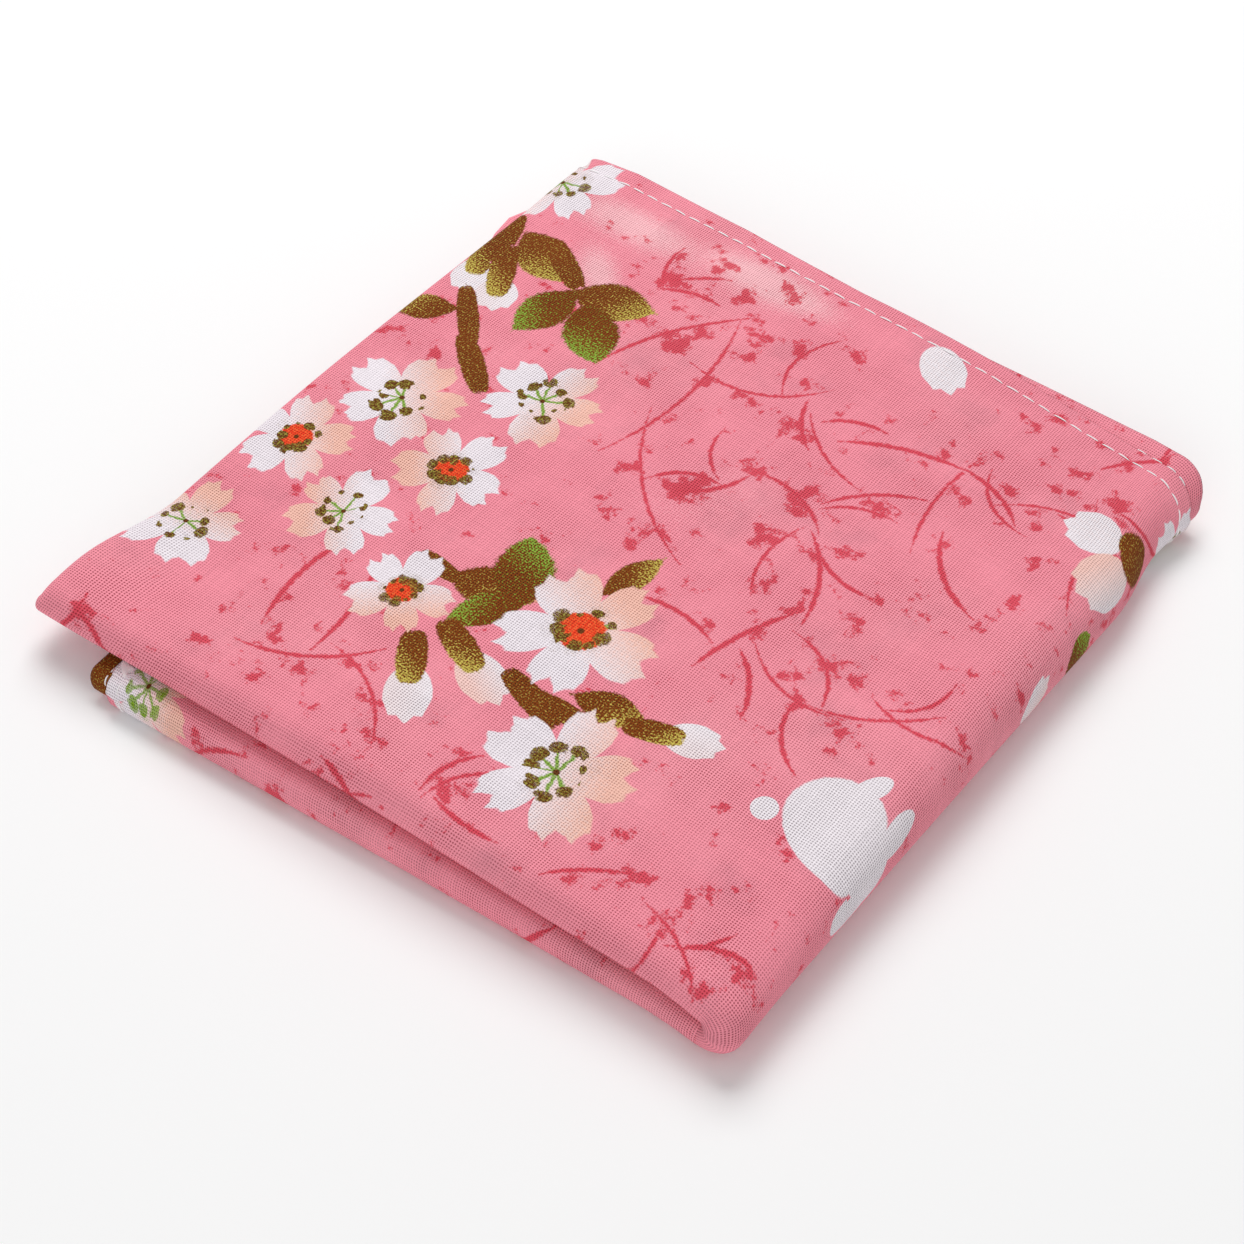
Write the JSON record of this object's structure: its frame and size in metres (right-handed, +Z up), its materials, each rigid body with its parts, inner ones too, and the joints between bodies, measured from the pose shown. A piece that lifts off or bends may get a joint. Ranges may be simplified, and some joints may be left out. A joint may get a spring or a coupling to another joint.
{
  "type": "folded furoshiki",
  "caption": "Printed cotton wrapping cloth, folded flat into a soft square pad with wide folds on two sides and stitched hems on the others",
  "frame": {"origin": "middle of the pad's footprint, on the surface that it rests on", "axes": "+Z up; -Y towards the side with the pair of wide folds; +X towards the side with the last fold"},
  "size_m": [0.1236, 0.1316, 0.0126],
  "materials": {
    "printed_cotton": "matt plain-woven cotton, printed pink"
  },
  "bodies": {
    "root": {"cloth": "printed_cotton"}
  },
  "joints": []
}
